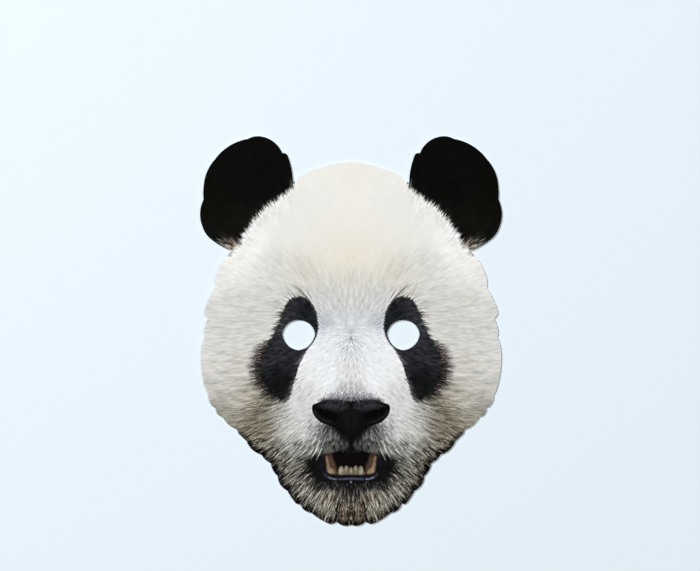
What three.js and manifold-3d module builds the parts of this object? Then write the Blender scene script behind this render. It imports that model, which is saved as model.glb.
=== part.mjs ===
// A flat paper mask of a panda's face: one sheet of stiff card, die-cut round the fur's locks, with two eye holes.
// Millimetres. X runs across the face, Y up the face towards the ears, and Z out of the printed side.
// It lies on its back, with the origin in the middle of its outline, on the back of the card.

import * as THREE from "three";
import { mergeVertices } from "three/addons/utils/BufferGeometryUtils.js";
import Module from "manifold-3d";

// Driving dimensions
const CARD_THICKNESS = 1;
const HEAD_WIDTH = 199; // over the cheeks
const HEAD_HEIGHT = 241; // from the chin to the crown
const EAR_WIDTH = 62;
const EAR_HEIGHT = 76;
const EAR_TUCK = 0.15; // how far an ear's outer root is tucked in behind the edge of the head
const EYE_SPACING = 69.3; // between the middles of the eye holes
const EYE_LEVEL = 126.3; // from the chin to the middle of an eye hole
const EYE_WIDTH = 21.6;
const EYE_HEIGHT = 20;
const CUT_STEP = 2.5; // longest straight piece of a curved cut
const CUT_TURN = Math.PI / 15; // most that a curved cut turns from one straight piece to the next

// The cut round the right half of the head, from the middle of the crown to the middle of the chin.
// Each row is one lock of fur: the crest that its round edge goes through, and the end where the next one starts.
// Columns: across as a share of half the head's width, up as a share of its height.
const HEAD_START = [0, 1];
const TEMPLE = [0.791, 0.756]; // where the edge of the head comes out from under the ear
const HEAD_LOCKS = [
  // crown
  { crest: [0.113, 0.994], end: [0.22, 0.981] },
  { crest: [0.302, 0.968], end: [0.382, 0.943] },
  // temple, under the ear
  { crest: [0.62, 0.871], end: TEMPLE },
  { crest: [0.857, 0.724], end: [0.897, 0.689] },
  { crest: [0.905, 0.672], end: [0.902, 0.655] },
  // cheek
  { crest: [0.947, 0.623], end: [0.975, 0.592] },
  { crest: [0.97, 0.578], end: [0.952, 0.57] },
  { crest: [0.971, 0.55], end: [0.979, 0.532] },
  { crest: [0.977, 0.525], end: [0.971, 0.521] },
  { crest: [0.992, 0.498], end: [1, 0.473] },
  { crest: [0.995, 0.429], end: [0.977, 0.388] },
  { crest: [0.967, 0.375], end: [0.951, 0.361] },
  // jaw
  { crest: [0.945, 0.345], end: [0.93, 0.333] },
  { crest: [0.92, 0.328], end: [0.9, 0.326] },
  { crest: [0.89, 0.308], end: [0.853, 0.299] },
  { crest: [0.814, 0.278], end: [0.757, 0.265] },
  { crest: [0.748, 0.254], end: [0.728, 0.246] },
  { crest: [0.711, 0.239], end: [0.694, 0.232] },
  { crest: [0.659, 0.21], end: [0.596, 0.196] },
  { crest: [0.573, 0.183], end: [0.534, 0.172] },
  { crest: [0.521, 0.154], end: [0.488, 0.137] },
  { crest: [0.47, 0.113], end: [0.424, 0.097] },
  { crest: [0.4, 0.08], end: [0.372, 0.064] },
  { crest: [0.356, 0.06], end: [0.337, 0.062] },
  // chin
  { crest: [0.318, 0.046], end: [0.264, 0.036] },
  { crest: [0.212, 0.02], end: [0.153, 0.007] },
  { crest: [0.124, 0.006], end: [0.096, 0.012] },
  { crest: [0.067, 0.003], end: [0.033, 0] },
  { crest: [0.016, 0.001], end: [0, 0.003] },
];

// The cut round the right ear, from its inner root over its top to its outer root, both inside the head.
// Columns: across as a share of the ear's width from its inner edge, up as a share of its height from its lowest point.
const EAR_START = [0.012, 0.51];
const EAR_ROOT = [0.655, 0];
const EAR_LOCKS = [
  { crest: [0.026, 0.72], end: [0.068, 0.837] },
  { crest: [0.09, 0.851], end: [0.124, 0.853] },
  { crest: [0.215, 0.953], end: [0.337, 0.997] },
  { crest: [0.405, 1], end: [0.49, 0.977] },
  { crest: [0.68, 0.92], end: [0.842, 0.798] },
  { crest: [0.922, 0.699], end: [0.962, 0.566] },
  { crest: [0.967, 0.505], end: [0.964, 0.448] },
  { crest: [1, 0.34], end: [0.976, 0.214] },
  { crest: [0.944, 0.157], end: [0.872, 0.095] },
  { crest: [0.77, 0.041], end: EAR_ROOT },
];
const EAR_HEEL = [0.4, 0.1]; // inside the head, where the ear's outline closes

// The cut round the right eye hole, anticlockwise from its inner side.
// Columns: across and up as shares of half the hole's width and height, from its middle.
const EYE_START = [-1, 0.08];
const EYE_ARCS = [
  { crest: [-0.73, 0.68], end: [-0.02, 1] },
  { crest: [0.68, 0.73], end: [1, 0.05] },
  { crest: [0.71, -0.62], end: [0, -1] },
  { crest: [-0.64, -0.67], end: [-1, 0.08] },
];

// The points after start on the circular arc through start, crest and end, in straight pieces within both limits.
function arcPoints(start, crest, end) {
  const [a, b, c] = [start, crest, end];
  const twiceArea = 2 * ((b.x - a.x) * (c.y - a.y) - (b.y - a.y) * (c.x - a.x));
  const [aa, bb, cc] = [a.lengthSq(), b.lengthSq(), c.lengthSq()];
  const centre = new THREE.Vector2(
    (aa * (b.y - c.y) + bb * (c.y - a.y) + cc * (a.y - b.y)) / twiceArea,
    (aa * (c.x - b.x) + bb * (a.x - c.x) + cc * (b.x - a.x)) / twiceArea,
  );
  const radius = centre.distanceTo(a);
  const clockwise = twiceArea < 0;
  const from = Math.atan2(a.y - centre.y, a.x - centre.x);
  const to = Math.atan2(c.y - centre.y, c.x - centre.x);
  const arc = new THREE.ArcCurve(centre.x, centre.y, radius, from, to, clockwise);
  const length = arc.getLength();
  const turn = length / radius;
  const pieces = Math.max(2, Math.ceil(length / CUT_STEP), Math.ceil(turn / CUT_TURN));
  return arc.getPoints(pieces).slice(1);
}

// The points of a cut, from its table and a function that turns a row's shares into a place.
function cutPoints(start, rows, place) {
  const points = [place(start)];
  for (const row of rows) {
    points.push(...arcPoints(points.at(-1), place(row.crest), place(row.end)));
  }
  return points;
}

function mirrored(points) {
  return points.map((p) => new THREE.Vector2(-p.x, p.y)).reverse();
}

function headPlace([across, up]) {
  return new THREE.Vector2((across * HEAD_WIDTH) / 2, up * HEAD_HEIGHT);
}

function headOutline() {
  const right = cutPoints(HEAD_START, HEAD_LOCKS, headPlace);
  return [...right, ...mirrored(right).slice(1, -1)];
}

// An ear stands on the temple, where its outer root meets the edge of the head.
function earOutline() {
  const root = headPlace(TEMPLE).subScalar(EAR_TUCK);
  const place = ([across, up]) =>
    new THREE.Vector2(
      root.x + (across - EAR_ROOT[0]) * EAR_WIDTH,
      root.y + (up - EAR_ROOT[1]) * EAR_HEIGHT,
    );
  return [...cutPoints(EAR_START, EAR_LOCKS, place), place(EAR_HEEL)];
}

function eyeOutline() {
  const place = ([across, up]) =>
    new THREE.Vector2((EYE_SPACING + across * EYE_WIDTH) / 2, EYE_LEVEL + (up * EYE_HEIGHT) / 2);
  return cutPoints(EYE_START, EYE_ARCS, place).slice(0, -1);
}

const wasm = await Module();
wasm.setup();

// A solid of the outline, from one height to another.
function slab(outline, low, high) {
  const geometry = new THREE.ExtrudeGeometry(new THREE.Shape(outline), {
    depth: high - low,
    bevelEnabled: false,
  });
  geometry.translate(0, 0, low);
  geometry.deleteAttribute("normal");
  geometry.deleteAttribute("uv");
  const merged = mergeVertices(geometry);
  return new wasm.Manifold(
    new wasm.Mesh({
      numProp: 3,
      vertProperties: merged.attributes.position.array,
      triVerts: new Uint32Array(merged.index.array),
    }),
  );
}

// The whole sheet: the head with both ears, less both eye holes.
function cardSolid() {
  const sheet = (outline) => slab(outline, 0, CARD_THICKNESS);
  const punch = (outline) => slab(outline, -CARD_THICKNESS, 2 * CARD_THICKNESS);
  return sheet(headOutline())
    .add(sheet(earOutline()))
    .add(sheet(mirrored(earOutline())))
    .subtract(punch(eyeOutline()))
    .subtract(punch(mirrored(eyeOutline())));
}

// The solid as a geometry, with the middle of its outline at the origin.
function centredGeometry(solid) {
  const mesh = solid.getMesh();
  const geometry = new THREE.BufferGeometry();
  geometry.setAttribute("position", new THREE.BufferAttribute(mesh.vertProperties, 3));
  geometry.setIndex(new THREE.BufferAttribute(mesh.triVerts, 1));
  geometry.computeBoundingBox();
  const middle = geometry.boundingBox.getCenter(new THREE.Vector3());
  geometry.translate(-middle.x, -middle.y, 0);
  geometry.computeVertexNormals();
  return geometry;
}

const printedCard = new THREE.MeshStandardMaterial({ color: 0xdedcd4, roughness: 0.45, metalness: 0 });
const card = new THREE.Mesh(centredGeometry(cardSolid()), printedCard);
card.name = "mask_card";

const mask = new THREE.Group();
mask.add(card);

export default mask;
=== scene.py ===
import math
from collections import namedtuple

import bpy
import numpy as np
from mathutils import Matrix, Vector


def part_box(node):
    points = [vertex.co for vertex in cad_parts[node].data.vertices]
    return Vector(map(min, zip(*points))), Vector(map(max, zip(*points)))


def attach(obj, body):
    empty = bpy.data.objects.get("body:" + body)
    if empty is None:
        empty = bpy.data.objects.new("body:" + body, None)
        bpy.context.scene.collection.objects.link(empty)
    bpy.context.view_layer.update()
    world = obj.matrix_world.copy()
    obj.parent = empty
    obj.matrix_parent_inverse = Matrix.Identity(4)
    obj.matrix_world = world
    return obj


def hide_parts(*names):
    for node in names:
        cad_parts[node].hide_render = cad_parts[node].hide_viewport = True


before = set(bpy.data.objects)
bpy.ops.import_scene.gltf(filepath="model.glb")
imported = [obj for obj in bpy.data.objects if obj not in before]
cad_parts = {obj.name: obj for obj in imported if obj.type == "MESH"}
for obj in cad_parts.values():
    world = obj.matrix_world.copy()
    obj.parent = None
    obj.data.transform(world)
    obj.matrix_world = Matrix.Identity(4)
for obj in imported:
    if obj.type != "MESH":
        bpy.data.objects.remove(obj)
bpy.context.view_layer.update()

# The blank sheet
# The mask starts as a flat sheet of stiff white card, a little under a page in size and printed on one side.
# A cutting die then stamps out the outline of the head, with its locks of fur, and the two eye holes.
MM = 0.001
card_low, card_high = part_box("mask_card")
THICKNESS = card_high.z - card_low.z
WIDTH = card_high.x - card_low.x
HEIGHT = card_high.y - card_low.y

# the straight pieces of the die's cut, in millimetres: the edges with a face on one side only
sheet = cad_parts["mask_card"].data
cut_edges = set()
for face in sheet.polygons:
    if face.normal.z > 0.5:
        corners = [tuple(round(c / MM, 3) for c in sheet.vertices[k].co[:2]) for k in face.vertices]
        for edge in zip(corners, corners[1:] + corners[:1]):
            if edge[::-1] in cut_edges:
                cut_edges.remove(edge[::-1])
            else:
                cut_edges.add(edge)
cut_edges = np.array(sorted(cut_edges))

# The white coat
# The face is printed in ink as a panda's short coat, with every hair showing, and its two halves mirror
# each other. The right half is painted here on a fine grid of grains, in millimetres from the card's middle.
GRAIN = 0.3
BLEED = 2  # how far the picture runs past the card's edge
HALF_WIDTH = round(WIDTH / MM / 2) + BLEED
HALF_HEIGHT = round(HEIGHT / MM / 2) + BLEED
rng = np.random.default_rng(7)
X, Y = np.meshgrid(np.arange(GRAIN / 2, HALF_WIDTH, GRAIN), np.arange(-HALF_HEIGHT, HALF_HEIGHT, GRAIN))
ROWS, COLUMNS = X.shape

# what a tint adds to the red, green and blue of a grey
TINTS = {
    "icy": (-6, 0, 7), "cool": (-3, 0, 3), "white": (0, 0, -1), "ivory": (1, 0, -6), "cream": (4, 0, -8),
    "straw": (3, 0, -12), "sand": (6, 0, -17), "tan": (9, 0, -20), "brown": (14, 0, -16),
    "rust": (24, 0, -26), "plum": (1, 0, 8),
}
BLACK_TINT = 30  # keeps a little of the tint in black hairs
TRACE = 1e-4  # how much of each fur reaches everywhere

# the fur about one place: where that is, how far it reaches, the tint and greys of its light and dark hairs,
# the share of dark ones, and their length, lean and thickness
Fur = namedtuple("Fur", "place across up reach tint light dark share length lean thickness")
COAT = [
    Fur("crown", 0, 105, 12, "cream", 236, 230, 0.4, 7, 90, 0.45),
    Fur("side of crown", 22, 100, 12, "ivory", 239, 232, 0.4, 7, 76, 0.45),
    Fur("upper forehead", 0, 83, 12, "ivory", 237, 231, 0.4, 7, 90, 0.45),
    Fur("side of forehead", 32, 80, 10, "ivory", 236, 225, 0.4, 7, 65, 0.45),
    Fur("foot of ear", 50, 77, 8, "ivory", 243, 222, 0.4, 6, 60, 0.34),
    Fur("top of temple", 66, 57, 8, "white", 249, 234, 0.35, 6, 42, 0.34),
    Fur("forehead", 0, 64, 12, "cream", 235, 228, 0.4, 7, 90, 0.45),
    Fur("side forehead", 30, 60, 12, "ivory", 237, 227, 0.4, 7, 62, 0.45),
    Fur("middle of forehead", 0, 46, 10, "sand", 229, 222, 0.4, 7, 90, 0.42),
    Fur("side of middle", 19, 46, 9, "straw", 230, 220, 0.4, 7, 68, 0.42),
    Fur("brow", 29, 37, 7, "straw", 212, 187, 0.4, 6, 52, 0.38),
    Fur("outer brow", 46, 40, 8, "ivory", 223, 197, 0.35, 7, 34, 0.38),
    Fur("temple", 69, 40, 9, "ivory", 245, 228, 0.35, 8, 22, 0.42),
    Fur("edge of temple", 86, 30, 8, "white", 238, 218, 0.35, 8, 12, 0.42),
    Fur("low forehead", 0, 27, 8, "ivory", 219, 192, 0.35, 6, 90, 0.38),
    Fur("over the patch", 36, 29, 5, "ivory", 228, 198, 0.3, 6, 42, 0.34),
    Fur("inner brow", 18, 20, 7, "white", 218, 188, 0.35, 5, 63, 0.38),
    Fur("between the eyes", 0, 11, 6, "cool", 222, 194, 0.35, 3.2, 84, 0.28),
    Fur("inner corner", 19, 4, 5, "icy", 203, 170, 0.4, 3, 18, 0.28),
    Fur("bridge", 0, -9, 5, "cool", 227, 171, 0.34, 2.4, -84, 0.28),
    Fur("side of bridge", 11, -9, 7, "cool", 241, 205, 0.3, 3.5, -22, 0.32),
    Fur("inner cheek", 19, -8, 6, "cool", 245, 230, 0.3, 4, -20, 0.32),
    Fur("low bridge", 0, -26, 6, "white", 231, 195, 0.33, 2.6, -84, 0.28),
    Fur("side of snout", 18, -26, 7, "cool", 248, 229, 0.3, 4, -38, 0.32),
    Fur("by the patch", 30, -31, 6, "white", 236, 200, 0.3, 4.5, -36, 0.32),
    Fur("low snout", 0, -38, 4, "cool", 207, 141, 0.36, 2.2, -90, 0.28),
    Fur("over the nose", 8, -44, 3, "cool", 201, 130, 0.34, 2, -85, 0.3),
    Fur("beside the nose", 27, -44, 5, "cool", 225, 197, 0.3, 3.5, -50, 0.32),
    Fur("side of the nose", 25, -60, 2.5, "white", 178, 96, 0.4, 4, -52, 0.26),
    Fur("upper cheek", 59, 20, 9, "ivory", 219, 190, 0.4, 9, 6, 0.42),
    Fur("outer cheek", 79, 14, 9, "ivory", 223, 190, 0.4, 9, 3, 0.42),
    Fur("middle of cheek", 70, -5, 9, "ivory", 221, 190, 0.4, 9, -3, 0.42),
    Fur("edge of cheek", 94, -10, 6, "white", 228, 196, 0.35, 8, -2, 0.42),
    Fur("cheek", 82, -26, 9, "ivory", 228, 196, 0.4, 9, -3, 0.4),
    Fur("fringe of patch", 71, -22, 4, "cream", 210, 163, 0.38, 6, -2, 0.34),
    Fur("low cheek", 79, -39, 8, "cream", 199, 152, 0.4, 8, -3, 0.42),
    Fur("edge of low cheek", 93, -37, 6, "ivory", 204, 159, 0.4, 8, -5, 0.4),
    Fur("under the patch", 53, -46, 4, "sand", 146, 58, 0.46, 6, -20, 0.34),
    Fur("below the fringe", 64, -42, 5, "sand", 192, 124, 0.4, 7, -12, 0.36),
    Fur("inner jowl", 48, -55, 5, "ivory", 187, 104, 0.4, 6, -24, 0.34),
    Fur("jowl", 59, -57, 6, "tan", 138, 76, 0.44, 7, -8, 0.34),
    Fur("outer jowl", 75, -53, 7, "straw", 187, 140, 0.4, 8, -6, 0.34),
    Fur("edge of jowl", 85, -54, 5, "straw", 138, 92, 0.42, 7, -10, 0.32),
    Fur("low jowl", 59, -67, 6, "tan", 138, 72, 0.47, 7, -28, 0.3),
    Fur("outer low jowl", 70, -65, 6, "sand", 142, 80, 0.45, 7, -20, 0.3),
    Fur("top of muzzle", 33, -42, 6, "white", 217, 189, 0.35, 4.5, -42, 0.42),
    Fur("muzzle", 32, -56, 7, "white", 218, 184, 0.36, 5, -30, 0.3),
    Fur("outer muzzle", 40, -66, 6, "ivory", 215, 170, 0.38, 5.5, -34, 0.32),
    Fur("inner muzzle", 27, -65, 4.5, "white", 222, 172, 0.34, 5, -46, 0.32),
    Fur("low muzzle", 35, -74, 5, "ivory", 196, 88, 0.45, 6, -44, 0.26),
    Fur("low inner muzzle", 22, -74, 4, "white", 158, 58, 0.45, 6, -62, 0.26),
    Fur("under the nose", 14, -67, 4.5, "white", 146, 36, 0.5, 5, -68, 0.26),
    Fur("by the groove", 4, -76, 3, "white", 97, 40, 0.5, 3.5, -84, 0.32),
    Fur("corner of mouth", 30, -89, 4.5, "cream", 120, 14, 0.6, 6, -30, 0.26),
    Fur("over the corner", 32, -82, 3.5, "ivory", 150, 50, 0.55, 6, -46, 0.24),
    Fur("beside the mouth", 38, -87, 5, "straw", 184, 76, 0.44, 7, -34, 0.26),
    Fur("jaw", 48, -81, 5, "straw", 146, 28, 0.56, 7, -38, 0.26),
    Fur("by the jowl", 51, -70, 3.5, "straw", 150, 62, 0.5, 7, -36, 0.26),
    Fur("low jaw", 46, -92, 6, "straw", 140, 8, 0.66, 8, -46, 0.22),
    Fur("side of chin", 32, -102, 5, "straw", 188, 36, 0.45, 8, -50, 0.24),
    Fur("dark of chin", 21, -100, 3.2, "ivory", 55, 12, 0.7, 6, -58, 0.26),
    Fur("under the lip", 0, -104, 5, "white", 64, 13, 0.65, 4, -90, 0.28),
    Fur("chin", 0, -112, 4.5, "brown", 176, 46, 0.42, 9, -88, 0.24),
    Fur("tan of the chin", 4.5, -120, 3.2, "rust", 136, 30, 0.48, 7, -86, 0.26),
    Fur("right of chin", 13, -112, 5, "tan", 180, 56, 0.42, 9, -70, 0.24),
    Fur("outer chin", 24, -109, 5, "straw", 188, 40, 0.44, 8, -58, 0.24),
]


def spread(furs, value, x, y):
    """Airbrush one value of each fur over the picture, from its place and over its reach."""
    values = np.array([np.atleast_1d(value(fur)) for fur in furs], float)
    total = np.zeros(x.shape + (values.shape[1],))
    weight = np.zeros(x.shape)
    for fur, value_here in zip(furs, values):
        away = (x - fur.across) ** 2 + (y - fur.up) ** 2
        amount = np.exp(-away / (2 * fur.reach ** 2)) + TRACE / (1 + away)
        total += amount[..., None] * value_here
        weight += amount
    return total / weight[..., None]


def light_hair(fur):
    return np.array(TINTS[fur.tint]) + fur.light


def dark_hair(fur):
    """The colour of the dark hairs, whose tint is the weaker, the darker they are."""
    return np.array(TINTS[fur.tint]) * (fur.dark + BLACK_TINT) / (fur.light + BLACK_TINT) + fur.dark


HAIR_VALUES = (
    light_hair,
    dark_hair,
    lambda fur: fur.share,
    lambda fur: fur.length,
    lambda fur: fur.thickness,
)
coat = [spread(COAT, value, X, Y) for value in HAIR_VALUES]


def fade(low, high, v):
    """A smooth step from 0 at low to 1 at high."""
    t = np.clip((v - low) / (high - low), 0, 1)
    return t * t * (3 - 2 * t)


def smooth_loop(points, pieces=4):
    """A smooth closed curve through the points."""
    a, b, c, d = (np.roll(np.array(points, float), k, axis=0)[:, None] for k in (1, 0, -1, -2))
    t = np.linspace(0, 1, pieces, endpoint=False)[None, :, None]
    curve = 2 * b + (c - a) * t + (2 * a - 5 * b + 4 * c - d) * t ** 2 + (3 * b - a - 3 * c + d) * t ** 3
    return 0.5 * curve.reshape(-1, 2)


def edge_distance(starts, ends, x, y):
    """Distance to the nearest of the straight edges, positive inside the loops that they make."""
    far = np.full(x.shape, 1e9)
    inside = np.zeros(x.shape, bool)
    for (ax, ay), (bx, by) in zip(starts, ends):
        dx, dy = bx - ax, by - ay
        t = np.clip(((x - ax) * dx + (y - ay) * dy) / (dx * dx + dy * dy + 1e-12), 0, 1)
        far = np.minimum(far, (x - ax - t * dx) ** 2 + (y - ay - t * dy) ** 2)
        if dy != 0:
            inside ^= ((ay > y) != (by > y)) & (x < ax + (y - ay) * dx / dy)
    return np.where(inside, np.sqrt(far), -np.sqrt(far))


def loop_distance(loop, x, y):
    return edge_distance(loop, np.roll(loop, -1, axis=0), x, y)


def paint_over(furs, amount):
    """Put another coat over the white one, where its amount is more than nothing."""
    there = amount > 0
    for field, value in zip(coat, HAIR_VALUES):
        field[there] += (spread(furs, value, X[there], Y[there]) - field[there]) * amount[there][:, None]


# distance in from the cut edge, worked out at every other grain
every_other = (slice(None, None, 2), slice(None, None, 2))
cut_in = edge_distance(cut_edges[:, 0], cut_edges[:, 1], X[every_other], Y[every_other])
cut_in = np.repeat(np.repeat(cut_in, 2, axis=0), 2, axis=1)[:ROWS, :COLUMNS]

# The ears
# Both ears are printed nearly black, with long hairs that fan outwards from behind the white of the temples,
# and a small pale tuft where the ear's outer root leaves the head.
EAR = [
    Fur("ear", 70, 100, 14, "white", 11, 3, 0.5, 9, 58, 0.42),
    Fur("inner ear", 46, 105, 10, "white", 11, 3, 0.5, 9, 80, 0.42),
    Fur("outer ear", 90, 84, 10, "ivory", 14, 3, 0.5, 9, 32, 0.42),
    Fur("low ear", 74, 72, 6, "ivory", 24, 4, 0.5, 7, 42, 0.42),
    Fur("tuft", 77, 55, 1.9, "brown", 176, 26, 0.45, 5, 36, 0.26),
    Fur("edge of tuft", 82, 56, 1.6, "cream", 150, 20, 0.5, 5, 24, 0.26),
    Fur("low edge of ear", 90, 64, 4, "white", 26, 5, 0.5, 7, 25, 0.42),
]
# foot of the black, from the ear's inner root to its outer root, and round outside the card
EAR_LOOP = [
    (36.5, 94.5), (41, 90), (47, 85), (54, 80.5), (59, 76.5), (63, 71), (69, 62.5), (73, 54.5),
    (78, 48.5), (110, 48.5), (110, 140), (36.5, 140),
]
ear_in = loop_distance(np.array(EAR_LOOP, float), X, Y)
paint_over(EAR, fade(-0.3, 0.3, ear_in))

# The eye patches
# A black patch surrounds each eye hole and slants down and outwards. Its inner edge is crisp against the
# white of the nose, and its outer edge is a soft fringe of long dark hairs.
PATCH = [
    Fur("top of patch", 36, 17, 6, "cool", 47, 19, 0.45, 5, 56, 0.36),
    Fur("shoulder of patch", 46, 10, 6, "cool", 73, 25, 0.42, 5, -4, 0.34),
    Fur("inner patch", 26, 9, 5, "cool", 41, 17, 0.5, 4, 40, 0.42),
    Fur("outer patch", 54, -6, 6, "cool", 65, 28, 0.42, 6, -18, 0.38),
    Fur("middle of patch", 48, -17, 6, "plum", 50, 19, 0.45, 6, -14, 0.36),
    Fur("far patch", 61, -22, 5, "ivory", 63, 22, 0.44, 7, -6, 0.3),
    Fur("low patch", 48, -32, 6, "cool", 29, 8, 0.5, 6, -24, 0.36),
    Fur("foot of patch", 45, -38, 4, "white", 27, 6, 0.5, 6, -34, 0.34),
]
# edge of the patch, clockwise from its top
PATCH_LOOP = [
    (35, 21.8), (39, 20.6), (41.6, 17.6), (43.6, 13.6), (45.2, 9.4), (47, 5), (49.4, -0.2), (53, -6.6),
    (57.4, -12), (60.2, -18.6), (60.8, -26), (59.2, -33), (54, -39.5), (48.6, -43.8), (44, -45.4),
    (40.4, -43.4), (38.6, -37), (36.2, -30), (33.8, -22), (29.6, -14), (26, -9.2), (23.1, -4.6),
    (21.9, -1), (21.4, 3), (21.9, 7), (23.2, 13), (27.3, 19.2), (31, 21.6),
]
patch_in = loop_distance(smooth_loop(PATCH_LOOP), X, Y)
# how softly the patch ends, in millimetres: crisp beside the nose, and softer over the cheek and at its foot
soft_edge = 0.8 + 1.7 * fade(4, -20, Y) * fade(42, 58, X) + 1.6 * fade(-34, -42, Y)
paint_over(PATCH, fade(-1, 1, patch_in / soft_edge))

# The lay of the coat
# The hairs lie away from the whorl between the eyes: up over the forehead, out over the cheeks and down
# over the jaw. They are combed one over the other from the outside inwards, as fur overlaps.
WHORL_UP = -5
WHORL_REACH = 5  # how far out it turns the hairs
light, dark = coat[:2]
share, length, thick = (field[..., 0] for field in coat[2:])


def lean_of(fur):
    return math.cos(math.radians(fur.lean)), math.sin(math.radians(fur.lean))


flow = spread(COAT + EAR + PATCH, lean_of, X, Y)
flow /= np.linalg.norm(flow, axis=2, keepdims=True)
from_whorl = np.dstack([X, Y - WHORL_UP])
whorl_away = np.linalg.norm(from_whorl, axis=2)[..., None]
near_whorl = np.exp(-(whorl_away / WHORL_REACH) ** 2)
flow = flow * (1 - near_whorl) + near_whorl * from_whorl / whorl_away
flow /= np.linalg.norm(flow, axis=2, keepdims=True)

# hairs that run into a patch stop at its edge, those that run out of it end just past it,
# and those at the foot of an ear are short
rise_y, rise_x = np.gradient(patch_in, GRAIN)
into_patch = rise_x * flow[..., 0] + rise_y * flow[..., 1]
past_edge = np.where(into_patch > 0, 0.3, 1.2 + 2.6 * fade(2, -24, Y) * fade(44, 58, X))
room = np.abs(patch_in) / (np.abs(into_patch) + 0.15) + past_edge
length = np.where((patch_in * into_patch < 0) & (np.abs(patch_in) < 7), np.minimum(length, room), length)
length = np.where((ear_in < 0) & (ear_in > -4), np.minimum(length, 5.5), length)


def cell(x, y):
    """Row and column of the grain at a place."""
    column = np.clip((x / GRAIN).astype(int), 0, COLUMNS - 1)
    row = np.clip(((y + HALF_HEIGHT) / GRAIN).astype(int), 0, ROWS - 1)
    return row, column


def drawn_out(noise, reach):
    """Noise drawn out along the hairs."""
    total = noise.copy()
    for sign in (1, -1):
        px, py = X.copy(), Y.copy()
        for _ in range(int(reach / GRAIN)):
            along = flow[cell(px, py)]
            px += sign * GRAIN * along[..., 0]
            py += sign * GRAIN * along[..., 1]
            total += noise[cell(px, py)]
    return total / total.std()


AT_A_TIME = 250  # hairs that are painted together, before those that lie over them
BELL_WIDTH = 2.35  # how much wider a soft-edged hair is than the spread of its ink
DAB = 1.3 * GRAIN  # the most from one dab of ink to the next along a hair
BLUR = 0.012  # keeps the thinnest hairs from breaking up
SWAY = 0.15  # how far hairs turn aside


def comb(x, y, colours, lengths, widths, strength, lay=None, turn=0.0):
    """Paint hairs from their roots along the flow, or along a lay of their own, each over those before."""
    steps = max(6, int(np.ceil(np.max(lengths) / DAB)))
    ink = picture.reshape(-1, 3)
    for start in range(0, len(x), AT_A_TIME):
        part = slice(start, start + AT_A_TIME)
        px, py = x[part].astype(float), y[part].astype(float)
        sway = SWAY * rng.standard_normal(len(px)) + turn
        grains, amounts = [], []
        for k in range(steps):
            # a hair swells and darkens just above its root, and thins and fades towards its tip
            t = (k + 0.5) / steps
            grow = min(1.0, t / 0.12)
            slim = widths[part] / BELL_WIDTH * grow * (1 - 0.65 * t)
            strong = strength * grow * min(1.0, (1 - t) / 0.25)
            along = flow[cell(px, py)] if lay is None else lay[part]
            row, column = cell(px, py)
            for down in (-1, 0, 1):
                for right in (-1, 0, 1):
                    r, q = row + down, column + right
                    on = (r >= 0) & (r < ROWS) & (q >= 0) & (q < COLUMNS) & (px > 0)
                    away = ((q + 0.5) * GRAIN - px) ** 2 + ((r + 0.5) * GRAIN - HALF_HEIGHT - py) ** 2
                    grains.append(np.where(on, r * COLUMNS + q, 0))
                    amounts.append(np.where(on, strong * np.exp(-away / (2 * slim ** 2 + BLUR)), 0))
            c, s = np.cos(sway * t), np.sin(sway * t)
            px += (along[:, 0] * c - along[:, 1] * s) * lengths[part] / steps
            py += (along[:, 0] * s + along[:, 1] * c) * lengths[part] / steps
        grain, amount = np.concatenate(grains), np.concatenate(amounts)
        first = grain.min()
        cover = np.bincount(grain - first, amount)
        tones = np.tile(colours[part], (9 * steps, 1))
        mixed = np.stack([np.bincount(grain - first, amount * tones[:, k]) for k in range(3)], axis=1)
        hit = np.nonzero(cover > 1e-3)[0]
        opaque = (1 - np.exp(-1.6 * cover[hit]))[:, None]
        ink[hit + first] += (mixed[hit] / cover[hit, None] - ink[hit + first]) * opaque


# undercoat, with fine hairs and wider locks
LOCK = 3  # grains across a lock
FINE_SHADE = 0.35
LOCK_SHADE = 0.25
fine = drawn_out(rng.standard_normal(X.shape), 3.5)
locks = np.kron(rng.standard_normal((ROWS // LOCK + 1, COLUMNS // LOCK + 1)), np.ones((LOCK, LOCK)))
locks = drawn_out(locks[:ROWS, :COLUMNS], 5)
picture = light * (1 - share[..., None]) + dark * share[..., None]
picture += ((FINE_SHADE * fine + LOCK_SHADE * locks) * (light - dark).mean(2) / 2)[..., None]

# overcoat
HAIRS = 70000
root_x = rng.uniform(0, HALF_WIDTH, HAIRS)
root_y = rng.uniform(-HALF_HEIGHT, HALF_HEIGHT, HAIRS)
order = np.argsort(-np.hypot(root_x, root_y - WHORL_UP) + rng.uniform(-3, 3, HAIRS))
root_x, root_y = root_x[order], root_y[order]
root = cell(root_x, root_y)
is_dark = rng.uniform(size=HAIRS) < share[root] * (1 - 0.3 * locks[root].clip(-1, 1))
tone = np.where(is_dark[:, None], dark[root], light[root])
tone += (0.25 * rng.standard_normal(HAIRS) * (light - dark)[root].mean(1))[:, None]
lengths = length[root] * rng.uniform(0.7, 1.2, HAIRS)
widths = thick[root] * rng.uniform(0.8, 1.3, HAIRS)
comb(root_x, root_y, tone, lengths, widths, 0.7)

# The jaw
# Below the mouth the coat is long and thin, with pale strands over near-black. The print darkens towards
# the cut edge there, and the strands run across the dark rim to the edge.
JAW_LOOP = [
    (-6, -106), (14, -105), (24, -101), (30, -92), (40, -84), (50, -74), (60, -66), (76, -68), (70, -100),
    (40, -135), (-6, -138),
]


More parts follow.
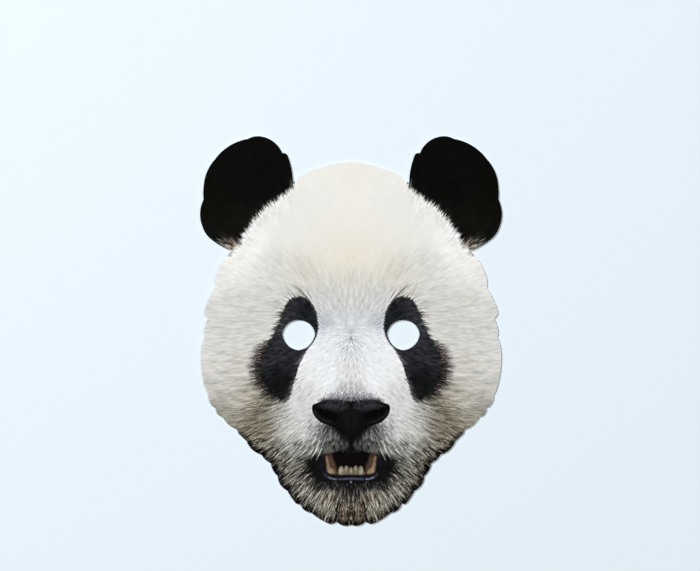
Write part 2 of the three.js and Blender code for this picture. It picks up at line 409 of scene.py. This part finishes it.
def tuft(where, number, colour, hair, width):
    """Straight loose hairs of one colour, rooted here and there in a part of the picture."""
    r, q = np.nonzero(where)
    pick = rng.integers(0, len(r), number)
    roots = (r[pick], q[pick])
    tones = np.array(colour, float) * rng.uniform(0.82, 1.1, number)[:, None]
    askew = rng.normal(0, 0.17, number)
    c, s = np.cos(askew), np.sin(askew)
    along, aside = flow[roots].T
    lay = np.column_stack([along * c - aside * s, along * s + aside * c])
    comb(X[roots], Y[roots], tones, hair * rng.uniform(0.6, 1.15, number), np.full(number, width), 0.85, lay)


jaw = loop_distance(smooth_loop(JAW_LOOP), X, Y) > rng.uniform(0, 8, X.shape)
tuft(jaw & (cut_in > 1), 560, (16, 15, 14), 6.5, 0.26)
tuft(jaw & (cut_in > 4) & (X > 9), 220, (208, 204, 190), 8, 0.16)
# the dark rim, wider towards the chin
rim = fade(3.8 + 3.4 * fade(-68, -90, Y), 1.8, cut_in) * fade(-60, -80, Y)
rim *= np.clip(0.85 + 0.35 * locks, 0, 1)
picture *= (1 - 0.88 * rim)[..., None]
tuft(jaw & (cut_in > 3.5) & (cut_in < 8), 90, (166, 160, 146), 5.5, 0.18)

# The fringes of the patches and the ears
# Dark hairs stand out of the patches over the cheek and the brow, a few of them brown, and white hairs of
# the temples lie over the foot of each black ear.
near_edge = np.abs(patch_in - 1)
# where, number of hairs, colour, length, thickness
tuft((near_edge < 2.5) & (X > 50) & (Y < -6), 150, (32, 29, 29), 8, 0.24)
tuft((near_edge < 2.5) & (Y < -30), 60, (26, 25, 24), 6.5, 0.24)
tuft((patch_in < 1) & (patch_in > -4) & (X > 54) & (Y < -6), 50, (92, 82, 78), 6.5, 0.24)
tuft((patch_in < 1) & (patch_in > -2) & (X > 54) & (Y < -6) & (Y > -20), 16, (140, 118, 108), 4, 0.22)
tuft((near_edge < 1.3) & (Y > 8) & (X > 30), 60, (40, 40, 41), 3.4, 0.24)
tuft((np.abs(patch_in) < 0.8) & (Y > 9) & (X < 33), 50, (58, 58, 60), 2.2, 0.22)
tuft((np.abs(patch_in - 0.3) < 1) & (X > 44) & (Y > -8), 70, (46, 46, 48), 4.5, 0.24)
tuft((patch_in < -1) & (patch_in > -6) & (Y > 14) & (X > 24), 24, (158, 157, 151), 7, 0.22)
tuft((np.abs(ear_in + 4.2) < 1.6) & (X > 38) & (X < 76), 300, (240, 241, 236), 5, 0.2)

# The mouth
# The mouth is open: black inside, with tan gums at its sides, five small lower teeth that touch, and a thin
# bluish-grey lower lip. Hairs of the upper lip hang over it, and black fur surrounds it.

# part, colour, softness of its edge, and the loop round its right half
MOUTH = [
    ("dark round the mouth", (17, 16, 16), 5,
     [(-4, -79), (12, -80.5), (19, -81), (24, -82), (27, -86), (26, -94), (22, -100), (14, -103),
      (6, -104), (-4, -104)]),
    ("dark under the nose", (26, 26, 25), 7,
     [(-4, -60), (8, -62), (15, -63), (12.5, -67), (8, -71), (4, -75), (-4, -78)]),
    ("shade over the nose", (128, 130, 134), 3.4,
     [(-4, -44.6), (8, -44), (16, -44.6), (21, -46), (20, -48), (10, -46.4), (-4, -46.8)]),
    ("inside of the mouth", (11, 7, 8), 0.9,
     [(-2, -77.2), (0, -75.6), (2, -77.2), (4.5, -78.2), (7.3, -79.2), (10.4, -80.4), (13.4, -81.2),
      (17.2, -82), (18, -85), (17.2, -91), (16, -95), (11, -97), (-4, -97)]),
    ("side of the mouth", (62, 46, 36), 2.4,
     [(12.8, -81.4), (17.2, -82.4), (16.8, -87.3), (16.2, -92), (15.2, -94.6), (9.2, -94.8), (9.2, -91.5),
      (10.2, -88), (11.8, -84.5)]),
    ("red of the gum", (80, 62, 48), 2.6,
     [(13.2, -84), (14.4, -84.6), (13.4, -88.5), (11.4, -92), (10.4, -92), (11.2, -88.5)]),
    ("tan of the gum", (132, 114, 92), 2.4,
     [(15.6, -83.4), (16.6, -83.6), (16.2, -87.5), (15.8, -92.4), (14.6, -94.4), (10.6, -94.6),
      (11.2, -92.4), (13.6, -90.2), (14.8, -86.6)]),
    ("lit gum", (144, 130, 106), 2.0,
     [(12.2, -92.6), (14.6, -91.2), (14.9, -93.6), (12, -94.4)]),
    ("foot of the teeth", (84, 78, 66), 1.2,
     [(-3, -93), (8, -93), (9, -95.3), (4, -95.7), (-3, -95.6)]),
    ("dark over the lip", (22, 20, 27), 1.0,
     [(-4, -95.4), (8, -95.6), (13, -95.2), (16.5, -93.4), (17.8, -93.8), (16, -96.5), (10, -97.6),
      (-4, -97.2)]),
    ("outer tooth", (118, 111, 95), 0.9,
     [(6.4, -89.5), (8, -90.8), (8.3, -93.3), (7.6, -95.2), (5.3, -95.2), (4.6, -93.3), (4.8, -91)]),
    ("middle tooth", (114, 107, 90), 0.8,
     [(3, -89.2), (4.4, -90.5), (4.6, -93), (4, -94.8), (2, -94.8), (1.5, -93), (1.6, -90.6)]),
    ("inner tooth", (112, 105, 89), 0.8,
     [(0, -90.3), (1.2, -91.3), (1.4, -93.4), (0.9, -95), (-0.9, -95), (-1.4, -93.4), (-1.2, -91.3)]),
    ("light on the outer tooth", (172, 165, 144), 1.4,
     [(6.9, -91), (7.8, -92.2), (7.6, -93.8), (6.8, -94.6), (6, -93.4), (6.1, -92)]),
    ("light on the middle tooth", (142, 135, 116), 1.1,
     [(3, -90.4), (3.7, -91.6), (3.4, -92.8), (2.5, -92.6), (2.3, -91.2)]),
    ("light on the inner tooth", (158, 151, 132), 1.0,
     [(0, -91.6), (0.7, -92.6), (0.5, -94), (-0.5, -94), (-0.7, -92.6)]),
    ("lip", (42, 44, 55), 1.2,
     [(-4, -97), (7, -97.7), (12, -97.1), (15.4, -95.7), (17.6, -93.6), (18.6, -94.4), (16.6, -97.2),
      (13, -98.9), (7, -99.2), (-4, -98.4)]),
    ("light on the lip", (108, 119, 135), 1.1,
     [(10, -98), (12.6, -97.6), (14.8, -96.6), (15, -97.2), (12.6, -98.6), (10, -98.7)]),
    ("light on the middle of the lip", (72, 76, 96), 1.0,
     [(-3, -97.4), (4, -97.7), (8, -98), (8, -98.6), (3, -98.4), (-3, -98)]),
    ("corner of the lip", (20, 20, 28), 2.4,
     [(18.4, -84), (20.2, -85), (20, -90), (18.8, -94.5), (17.8, -94), (18.2, -89)]),
]
# part, from and to across, from and to up, number of hairs, colour, length, thickness, lean at each end
LIP_HAIRS = [
    ("dark over the nose", 0, 15, -44.5, -41, 70, (140, 141, 144), 1.6, 0.24, -90, -70),
    ("dark just over the nose", 0, 17, -45.6, -43.8, 70, (112, 113, 116), 1.5, 0.24, -90, -74),
    ("dark under the nose", 3, 21, -71, -62, 210, (42, 43, 40), 4.5, 0.26, -84, -46),
    ("grey under the nose", 7, 27, -72, -63, 95, (146, 148, 143), 6, 0.2, -80, -44),
    ("dark upper lip", 2, 17, -78, -70, 190, (34, 34, 33), 3, 0.26, -88, -66),
    ("upper lip", 2, 19, -77.4, -70, 100, (98, 100, 96), 3.6, 0.2, -88, -66),
    ("over the gum", 14, 19, -79, -76, 22, (120, 116, 106), 3.6, 0.26, -80, -64),
    ("dark over the corner", 17, 36, -80, -72, 150, (70, 69, 65), 6, 0.22, -68, -36),
    ("white over the corner", 20, 30, -79, -70, 60, (206, 206, 202), 6.5, 0.2, -66, -44),
    ("white beside the corner", 31, 41, -80, -73, 34, (186, 186, 180), 6.5, 0.22, -50, -30),
    ("black out of the corner", 23, 27, -95, -84, 70, (14, 13, 13), 5.5, 0.32, -30, -22),
    ("black under the mouth", 7, 20, -103, -98, 110, (18, 17, 16), 5, 0.28, -84, -54),
    ("grey under the lip", 0, 20, -104, -99.5, 70, (78, 77, 78), 2.5, 0.24, -90, -60),
]


def paint_shapes(shapes):
    """Paint soft-edged shapes, the later over the earlier."""
    for _, colour, soft, loop in shapes:
        curve = smooth_loop(loop)
        low, high = curve.min(0) - soft, curve.max(0) + soft
        (r0, q0), (r1, q1) = cell(*low), cell(*high)
        part = (slice(r0, r1 + 2), slice(q0, q1 + 2))
        amount = fade(-soft / 2, soft / 2, loop_distance(curve, X[part], Y[part]))
        picture[part] += (np.array(colour, float) - picture[part]) * amount[..., None]


def paint_fringes(fringes):
    """Comb rows of loose hairs over the picture."""
    for _, x0, x1, y0, y1, number, colour, hair, width, lean0, lean1 in fringes:
        along = rng.uniform(0, 1, number)
        x = np.abs(x0 + (x1 - x0) * along + rng.normal(0, 0.9, number))
        y = rng.uniform(y0, y1, number) + rng.normal(0, 0.7, number)
        lean = np.radians(lean0 + (lean1 - lean0) * along + rng.normal(0, 7, number))
        tones = np.array(colour, float) * rng.uniform(0.8, 1.12, number)[:, None]
        lay = np.column_stack([np.cos(lean), np.sin(lean)])
        comb(x, y, tones, hair * rng.uniform(0.6, 1.15, number), np.full(number, width), 0.85, lay)


paint_shapes(MOUTH)
paint_fringes(LIP_HAIRS)

# The nose
# The nose is a broad black pad with a soft sheen along its top, two nostrils and a groove that runs down
# to the lip. Short fuzz stands over its top edge.
NOSE = [
    ("foot of the nose", (20, 20, 20), 4.6,
     [(-4, -60), (12, -62), (11, -66), (7.5, -69.5), (4.4, -73), (-4, -75)]),
    ("nose", (11, 11, 12), 0.8,
     [(-4, -46.2), (0, -46.5), (4.1, -46.2), (11.2, -45.6), (17.3, -46.1), (21.1, -47.4), (24.9, -48.9),
      (25.9, -50.8), (25.6, -53.3), (24.6, -55.9), (22.8, -58.2), (19.7, -60.8), (15.4, -62.4),
      (11.6, -63.9), (8.8, -65.9), (6.4, -67.9), (4.1, -69.5), (2.2, -71), (1.1, -73.5), (0.7, -76),
      (-4, -76)]),
    ("top of the nose", (37, 38, 41), 3.6,
     [(2, -48.6), (7, -47.6), (13, -47.4), (18, -48), (22, -49.6), (17, -51.6), (11, -53), (6, -53.6),
      (3, -52)]),
    ("sheen of the nose", (54, 57, 61), 2.6,
     [(8, -48.6), (12, -48), (17, -48.4), (19, -49.8), (13, -50.6), (9, -50.8)]),
    ("middle of the nose", (18, 18, 19), 4.0,
     [(-3, -52), (4, -53), (6, -56), (5, -60), (3, -66), (-3, -66)]),
    ("nostril", (4, 4, 4), 2.0,
     [(8.5, -57.5), (11, -54.5), (16, -52.4), (21.5, -51.4), (22.6, -53), (20, -55.4), (15, -57.6),
      (10.5, -59.6)]),
    ("wing of the nose", (29, 29, 31), 1.4,
     [(23.6, -52.4), (24.4, -53.4), (23.2, -56.2), (20.5, -58.6), (16, -60.4), (12.4, -61.2), (13, -60.2),
      (16.5, -59), (20.4, -57), (22.6, -54.6)]),
    ("rim of the groove", (60, 60, 62), 1.6,
     [(2.2, -74), (3.2, -74), (4, -76.5), (4.6, -78.4), (3.4, -77.8), (2.2, -76)]),
    ("notch over the mouth", (12, 9, 9), 0.9,
     [(-1.6, -79.4), (-1.4, -77.2), (0, -75.9), (1.4, -77.2), (1.6, -79.4)]),
    ("glint under the lip", (110, 110, 120), 0.8,
     [(-0.5, -99.7), (0, -99.5), (0.5, -99.7), (0.4, -100.6), (-0.4, -100.6)]),
]
NOSE_FUZZ = [
    ("pale fuzz on the nose", 0, 19, -45.8, -44.2, 50, (140, 142, 146), 1.5, 0.22, -90, -75),
    ("dark fuzz on the nose", 0, 20, -46, -44.6, 90, (60, 60, 62), 1.5, 0.24, -90, -65),
    ("light grain of the nose", 2, 20, -51, -47.4, 110, (52, 54, 57), 0.8, 0.28, -70, -20),
    ("dark grain of the nose", 2, 20, -51, -47.4, 110, (26, 26, 28), 0.8, 0.28, -70, -20),
]
paint_shapes(NOSE)
paint_fringes(NOSE_FUZZ)

# Whiskers and brow hairs
# A few long single hairs stand out: white whiskers over the corners of the mouth, dark hairs that sweep up
# from the inner corner of each eye, and the small dark tuft of the whorl.

# hair, across, up, length, lean, turn towards the tip, thickness, colour
STRANDS = [
    ("whisker", 19, -77, 11, -66, 0, 0.4, (240, 242, 244)),
    ("whisker", 22.4, -77.5, 10.5, -59, 0, 0.34, (226, 228, 228)),
    ("whisker", 26, -78.5, 8, -53, 0, 0.34, (218, 219, 218)),
    ("whisker", 29.2, -78, 9, -47, 0, 0.34, (232, 233, 232)),
    ("whisker", 32.5, -79, 8, -40, 0, 0.34, (222, 222, 220)),
    ("whisker", 16.8, -70, 9, -70, 0, 0.32, (208, 210, 206)),
    ("whisker", 21, -66, 9, -58, 0, 0.32, (226, 227, 224)),
    ("tuft of the whorl", 0.2, -5.5, 2.8, 96, 0, 0.4, (112, 108, 106)),
    ("tuft of the whorl", 0.7, -6.2, 2.2, 70, 0, 0.34, (128, 125, 123)),
    ("tuft of the whorl", 0.5, -6.8, 2.4, -76, 0, 0.34, (124, 121, 119)),
    ("brow hair", 26.5, 19.5, 20, 52, -0.4, 0.34, (70, 68, 65)),
    ("brow hair", 28.5, 21.5, 16, 46, -0.3, 0.32, (78, 76, 72)),
    ("brow hair", 25.5, 20.5, 12, 60, -0.4, 0.28, (112, 110, 106)),
    ("brow hair", 31, 23, 9, 48, 0, 0.3, (84, 82, 78)),
]
for _, x, y, hair, lean, turn, width, colour in STRANDS:
    lay = np.array([[math.cos(math.radians(lean)), math.sin(math.radians(lean))]])
    x, y, hair, width = (np.array([value]) for value in (x, y, hair, width))
    comb(x, y, np.array([colour], float), hair, width, 0.9, lay, turn)

# The printing of the picture
# The picture is sharpened a little, as printers do. The card is a mesh of cells whose corners carry the ink,
# finer where the hairs are fine, so where its cells are wide the ink is evened out to suit them.
MESH = 1.82  # width of the widest cells
SHARPER = 0.6


def has_fur(x, y):
    """Where the cells are cut in four, which is all but the crown and the black of the ears."""
    at = cell(x, y)
    crown = (y > 54) & (x < 58) & (ear_in[at] < -9)
    return ((ear_in[at] < 6) | (y < 64)) & (cut_in[at] > -2.5) & ~crown


def has_detail(x, y):
    """Where they are cut in four once more."""
    at = cell(x, y)
    muzzle = (x < 52) & (y < -40)
    jowl = (x > 51) & (x + 0.6 * y < 56) & (y < -46)
    edge = (np.abs(patch_in[at] + 1.4) < 3.4) | (np.abs(ear_in[at] - 1) < 3.2)
    whorl = (x < 9) & (np.abs(y + 8) < 12)
    ear_tuft = (x > 72) & (y < 62) & (ear_in[at] > -2)
    return (muzzle | jowl | edge | whorl | ear_tuft) & (cut_in[at] > -1)


def has_level_hair(x, y):
    """The cheeks, outside the patches."""
    at = cell(x, y)
    return (x > 52) & (y < 16) & (y > -50) & (cut_in[at] > -1) & (patch_in[at] < -5)


def blurred(field, grains):
    """A field with each grain shared out over its neighbours."""
    reach = 3 * grains
    kernel = np.exp(-0.5 * (np.arange(-reach, reach + 1) / grains) ** 2)
    kernel /= kernel.sum()
    edge = np.pad(field, ((reach, reach), (reach, reach), (0, 0)), mode="reflect")
    down = sum(k * edge[n:n + field.shape[0]] for n, k in enumerate(kernel))
    return sum(k * down[:, n:n + field.shape[1]] for n, k in enumerate(kernel))


picture += SHARPER * (picture - blurred(picture, 2))
fur_here = blurred(has_fur(X, Y)[..., None].astype(float), 3)
detail_here = blurred(has_detail(X, Y)[..., None].astype(float), 2)
picture = detail_here * picture + (1 - detail_here) * blurred(picture, 1)
picture = fur_here * picture + (1 - fur_here) * blurred(picture, 3)

# The card
# The printed sheet lies flat, with square-cut edges. The blank is a grid that is cut finer for the hairs,
# given its thickness, and stamped with the die, a deeper copy of the cut-out shape.
MARGIN = 3  # how far the blank stands out past the card
bpy.ops.object.select_all(action="DESELECT")
columns = int((WIDTH / MM + 2 * MARGIN) / MESH)
rows = int((HEIGHT / MM + 2 * MARGIN) / MESH)
bpy.ops.mesh.primitive_grid_add(
    x_subdivisions=columns, y_subdivisions=rows, size=1, location=(0, 0, THICKNESS)
)
card = bpy.context.object
card.name = "card"
card.dimensions = (columns * MESH * MM, rows * MESH * MM, 0)
bpy.ops.object.transform_apply(location=True, rotation=True, scale=True)
mesh = card.data


def cut_selected(kind, chosen):
    """Cut the chosen faces in four, or the chosen edges in two."""
    bpy.ops.object.mode_set(mode="EDIT")
    bpy.ops.mesh.select_mode(type=kind)
    bpy.ops.mesh.select_all(action="DESELECT")
    bpy.ops.object.mode_set(mode="OBJECT")
    elements = mesh.polygons if kind == "FACE" else mesh.edges
    elements.foreach_set("select", chosen)
    bpy.ops.object.mode_set(mode="EDIT")
    bpy.ops.mesh.subdivide(number_cuts=1, ngon=False)
    bpy.ops.object.mode_set(mode="OBJECT")


def corner_places():
    places = np.empty(len(mesh.vertices) * 3)
    mesh.vertices.foreach_get("co", places)
    return places.reshape(-1, 3)


for finer in (has_fur, has_detail):
    centres = np.empty(len(mesh.polygons) * 3)
    mesh.polygons.foreach_get("center", centres)
    centres = centres.reshape(-1, 3) / MM
    cut_selected("FACE", finer(np.abs(centres[:, 0]), centres[:, 1]))

# the cheeks' hairs lie level, so the long upright edges of their cells are cut in two
ends = np.empty(len(mesh.edges) * 2, np.int32)
mesh.edges.foreach_get("vertices", ends)
start, end = (corner_places()[k, :2] / MM for k in ends.reshape(-1, 2).T)
run = np.abs(start - end)
upright = (run[:, 0] < 0.01) & (run[:, 1] > MESH / 3)
middle = (start + end) / 2
cut_selected("EDGE", upright & has_level_hair(np.abs(middle[:, 0]), middle[:, 1]))

bpy.ops.object.mode_set(mode="EDIT")
bpy.ops.mesh.select_all(action="SELECT")
bpy.ops.mesh.region_to_loop()
bpy.ops.mesh.extrude_edges_move(TRANSFORM_OT_translate={"value": (0, 0, -THICKNESS)})
bpy.ops.mesh.edge_face_add()
bpy.ops.mesh.select_all(action="SELECT")
bpy.ops.mesh.normals_make_consistent(inside=False)
bpy.ops.object.mode_set(mode="OBJECT")

bpy.ops.object.select_all(action="DESELECT")
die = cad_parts["mask_card"].copy()
die.data = die.data.copy()
bpy.context.collection.objects.link(die)
bpy.context.view_layer.objects.active = die
die.select_set(True)
bpy.ops.object.mode_set(mode="EDIT")
bpy.ops.mesh.select_all(action="SELECT")
bpy.ops.mesh.remove_doubles(threshold=1e-6)
bpy.ops.transform.resize(value=(1, 1, 3), center_override=(0, 0, THICKNESS / 2))
bpy.ops.object.mode_set(mode="OBJECT")

bpy.ops.object.select_all(action="DESELECT")
card.select_set(True)
bpy.context.view_layer.objects.active = card
stamp = card.modifiers.new("die cut", "BOOLEAN")
stamp.operation = "INTERSECT"
stamp.solver = "MANIFOLD"
stamp.object = die
bpy.ops.object.modifier_apply(modifier=stamp.name)
bpy.data.objects.remove(die)

# faces that look up are the print, those that look down are the back, and the rest are the cut edge
facing = np.empty(len(mesh.polygons) * 3)
mesh.polygons.foreach_get("normal", facing)
facing = facing.reshape(-1, 3)
is_print = facing[:, 2] > 0.5
is_back = facing[:, 2] < -0.5
is_side = ~is_print & ~is_back & (np.abs(facing[:, 0]) > np.abs(facing[:, 1]))
is_end = ~is_print & ~is_back & ~is_side

# The card's flat map
# The finished card is laid out flat for its picture: the print large, the back small beside it, and the cut
# edge in two thin strips.

# sizes and places on the map, which is 1 wide and 1 high
MAP_MARGIN = 0.005
PRINT_SCALE = 0.985
BACK_SCALE = 0.25
BACK_ACROSS = 0.79
STRIP_WIDTH = 0.01
STRIP_SCALE = 0.68
STRIPS_UP = 0.3
SIDE_ACROSS = 0.8
END_ACROSS = 0.83

corners_of = np.empty(len(mesh.polygons), np.int32)
mesh.polygons.foreach_get("loop_total", corners_of)
corner = np.empty(len(mesh.loops), np.int32)
mesh.loops.foreach_get("vertex_index", corner)
spots = corner_places()
x, y, z = ((spots - card_low)[corner] / (HEIGHT, HEIGHT, THICKNESS)).T
layout = np.zeros((len(corner), 2))
for part, across, up in (
    (is_print, MAP_MARGIN + PRINT_SCALE * x, MAP_MARGIN + PRINT_SCALE * y),
    (is_back, BACK_ACROSS + BACK_SCALE * x, MAP_MARGIN + BACK_SCALE * y),
    (is_side, SIDE_ACROSS + STRIP_WIDTH * z, STRIPS_UP + STRIP_SCALE * y),
    (is_end, END_ACROSS + STRIP_WIDTH * z, STRIPS_UP + STRIP_SCALE * x),
):
    here = np.repeat(part, corners_of)
    layout[here] = np.column_stack([across, up])[here]
flat_map = mesh.uv_layers.new(name="OFBake")
flat_map.uv.foreach_set("vector", layout.astype(np.float32).ravel())

# The ink
# Four-colour ink lies on the card under a thin satin varnish. Each corner of the mesh carries the picture's
# colour there, and the lay of the hair, which the ink's finer hairs follow.


def between(field, x, y):
    """The value of a field at places between its grains, the same on both sides of the face."""
    a = np.abs(x) / GRAIN - 0.5
    b = (y + HALF_HEIGHT) / GRAIN - 0.5
    q = np.clip(np.floor(a).astype(int), 0, COLUMNS - 2)
    r = np.clip(np.floor(b).astype(int), 0, ROWS - 2)
    a = np.clip(a - q, 0, 1)[:, None]
    b = np.clip(b - r, 0, 1)[:, None]
    low = field[r, q] * (1 - a) + field[r, q + 1] * a
    high = field[r + 1, q] * (1 - a) + field[r + 1, q + 1] * a
    return low * (1 - b) + high * b


across, up = spots[:, 0] / MM, spots[:, 1] / MM

# the picture's greys are as a screen shows them, and a material wants them as amounts of light
shade = np.clip(between(picture, across, up) / 255, 0, 1)
linear = np.where(shade <= 0.04045, shade / 12.92, ((shade + 0.055) / 1.055) ** 2.4)
ink = mesh.color_attributes.new("ink", "FLOAT_COLOR", "POINT")
ink.data.foreach_set("color", np.column_stack([linear, np.ones(len(linear))]).astype(np.float32).ravel())

# twice the lean of the hairs, as hairs look the same both ways, and how far their tones differ
contrast = ((light - dark) / (light + dark + 8)).mean(2)
twice_lean = np.dstack([flow[..., 0] ** 2 - flow[..., 1] ** 2, 2 * flow[..., 0] * flow[..., 1], contrast])
lie = between(twice_lean, across, up)
lie[:, 1] *= np.where(across < 0, -1, 1)
lay = mesh.attributes.new("lay", "FLOAT_VECTOR", "POINT")
lay.data.foreach_set("vector", lie.astype(np.float32).ravel())

printed = bpy.data.materials.new("printed fur")
printed.use_nodes = True
nodes, links = printed.node_tree.nodes, printed.node_tree.links
bsdf = nodes["Principled BSDF"]
bsdf.inputs["Roughness"].default_value = 0.42
bsdf.inputs["Specular IOR Level"].default_value = 0.04
colour = nodes.new("ShaderNodeAttribute")
colour.attribute_name = "ink"
hair_lay = nodes.new("ShaderNodeAttribute")
hair_lay.attribute_name = "lay"
on_card = nodes.new("ShaderNodeTexCoord")
lay_parts = nodes.new("ShaderNodeSeparateXYZ")
links.new(hair_lay.outputs["Vector"], lay_parts.inputs[0])
direction = nodes.new("ShaderNodeCombineXYZ")
links.new(lay_parts.outputs["X"], direction.inputs["X"])
links.new(lay_parts.outputs["Y"], direction.inputs["Y"])


def maths(operation, *values, clamp=False):
    """Add a Math node and give its result."""
    node = nodes.new("ShaderNodeMath")
    node.operation = operation
    node.use_clamp = clamp
    for socket, value in zip(node.inputs, values):
        if isinstance(value, (int, float)):
            socket.default_value = value
        else:
            links.new(value, socket)
    return node.outputs[0]


# fine hairs: noise drawn out in twelve directions, of which the two nearest the lay show
LAYS = 12
HAIR_LONG = 5 * MM
HAIR_ACROSS = 0.5 * MM
HAIR_GAIN = 4
one_lay_off = math.cos(2 * math.pi / LAYS)
SHOW_GAIN = 1 / (1 - one_lay_off)
SHOW_START = -one_lay_off / (1 - one_lay_off)
hair_total = 0.0
hair_weight = 1e-4
for k in range(LAYS):
    angle = math.pi * k / LAYS
    drawn = nodes.new("ShaderNodeMapping")
    drawn.vector_type = "TEXTURE"
    drawn.inputs["Rotation"].default_value = (0, 0, angle)
    drawn.inputs["Scale"].default_value = (HAIR_LONG, HAIR_ACROSS, 1)
    links.new(on_card.outputs["Object"], drawn.inputs["Vector"])
    noise = nodes.new("ShaderNodeTexNoise")
    noise.noise_dimensions = "2D"
    noise.inputs["Scale"].default_value = 1
    noise.inputs["Detail"].default_value = 2
    links.new(drawn.outputs[0], noise.inputs["Vector"])
    match = nodes.new("ShaderNodeVectorMath")
    match.operation = "DOT_PRODUCT"
    match.inputs[1].default_value = (math.cos(2 * angle), math.sin(2 * angle), 0)
    links.new(direction.outputs[0], match.inputs[0])
    shows = maths("MULTIPLY_ADD", match.outputs["Value"], SHOW_GAIN, SHOW_START, clamp=True)
    hair_total = maths("MULTIPLY_ADD", shows, noise.outputs[0], hair_total)
    hair_weight = maths("ADD", shows, hair_weight)
streak = maths("SUBTRACT", maths("DIVIDE", hair_total, hair_weight), 0.5)
gain = maths("MULTIPLY_ADD", maths("MULTIPLY", streak, lay_parts.outputs["Z"]), HAIR_GAIN, 1.0)
shaded = nodes.new("ShaderNodeVectorMath")
shaded.operation = "SCALE"
links.new(colour.outputs["Color"], shaded.inputs[0])
links.new(gain, shaded.inputs["Scale"])
links.new(shaded.outputs[0], bsdf.inputs["Base Color"])

# the varnish's faint orange peel
varnish = nodes.new("ShaderNodeTexNoise")
varnish.inputs["Scale"].default_value = 1400
varnish.inputs["Detail"].default_value = 2
links.new(on_card.outputs["Object"], varnish.inputs["Vector"])
relief = nodes.new("ShaderNodeBump")
relief.inputs["Strength"].default_value = 0.3
relief.inputs["Distance"].default_value = 0.02 * MM
links.new(varnish.outputs[0], relief.inputs["Height"])
links.new(relief.outputs[0], bsdf.inputs["Normal"])

# The bare card
# The back and the cut edge are unprinted, uncoated white board. It is pressed wood pulp, so its white is
# slightly mottled and its surface is finely rough.
bare = bpy.data.materials.new("white card")
bare.use_nodes = True
nodes, links = bare.node_tree.nodes, bare.node_tree.links
bsdf = nodes["Principled BSDF"]
bsdf.inputs["Roughness"].default_value = 0.8
bsdf.inputs["Specular IOR Level"].default_value = 0.2
on_card = nodes.new("ShaderNodeTexCoord")
pulp = nodes.new("ShaderNodeTexNoise")
pulp.inputs["Scale"].default_value = 900
pulp.inputs["Detail"].default_value = 4
links.new(on_card.outputs["Object"], pulp.inputs["Vector"])
mottle = nodes.new("ShaderNodeValToRGB")
mottle.color_ramp.elements[0].position = 0.3
mottle.color_ramp.elements[0].color = (0.74, 0.73, 0.69, 1)
mottle.color_ramp.elements[1].position = 0.7
mottle.color_ramp.elements[1].color = (0.85, 0.84, 0.81, 1)
links.new(pulp.outputs[0], mottle.inputs[0])
links.new(mottle.outputs[0], bsdf.inputs["Base Color"])
relief = nodes.new("ShaderNodeBump")
relief.inputs["Strength"].default_value = 0.5
relief.inputs["Distance"].default_value = 0.04 * MM
links.new(pulp.outputs[0], relief.inputs["Height"])
links.new(relief.outputs[0], bsdf.inputs["Normal"])

mesh.materials.clear()
mesh.materials.append(printed)
mesh.materials.append(bare)
mesh.polygons.foreach_set("material_index", (~is_print).astype(np.int32))

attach(card, "root")
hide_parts("mask_card")

# The floor
# The mask lies on its back on a plain sheet of studio paper, in a very pale, cool white. The sheet is
# only there for the picture.
bpy.ops.object.select_all(action="DESELECT")
bpy.ops.mesh.primitive_plane_add(size=6, location=(0, 0, -0.2 * MM))
floor = bpy.context.object
floor.name = "floor"
plain = bpy.data.materials.new("pale floor")
plain.use_nodes = True
bsdf = plain.node_tree.nodes["Principled BSDF"]
bsdf.inputs["Base Color"].default_value = (0.80, 0.89, 0.96, 1)
bsdf.inputs["Roughness"].default_value = 0.9
bsdf.inputs["Specular IOR Level"].default_value = 0.1
floor.data.materials.append(plain)

# The light
# A round soft light stands over the upper left, so that the card's thickness throws a thin shadow to the
# lower right, and a weaker one fills that shadow from the right.
world = bpy.data.worlds.new("studio")
bpy.context.scene.world = world
world.use_nodes = True
world.node_tree.nodes["Background"].inputs["Color"].default_value = (1, 1, 1, 1)
world.node_tree.nodes["Background"].inputs["Strength"].default_value = 0.12
# light, place, width, watts
LIGHTS = [
    ("key light", (-1.9, 1.6, 2.6), 1.0, 118),
    ("fill light", (2.2, -0.6, 2.6), 1.6, 38),
]
for name, spot, size, power in LIGHTS:
    soft = bpy.data.lights.new(name, "AREA")
    soft.shape = "DISK"
    soft.size = size
    soft.energy = power
    lamp = bpy.data.objects.new(name, soft)
    bpy.context.collection.objects.link(lamp)
    lamp.location = spot
    lamp.rotation_euler = (-lamp.location).to_track_quat("-Z", "Y").to_euler()

# The camera
# The camera looks straight down from a little over a metre, and the mask lies a little below the middle
# of what it takes in.
FRAME_WIDE = 463.575 * MM  # what the picture takes in from side to side
AIM_ACROSS = -0.66 * MM
AIM_UP = 30.13 * MM
LENS = 85
SENSOR = 36
lens = bpy.data.cameras.new("camera")
lens.lens = LENS
lens.sensor_width = SENSOR
camera = bpy.data.objects.new("camera", lens)
bpy.context.collection.objects.link(camera)
camera.location = (AIM_ACROSS, AIM_UP, THICKNESS + FRAME_WIDE * LENS / SENSOR)
bpy.context.scene.camera = camera
bpy.context.scene.view_settings.view_transform = "Standard"
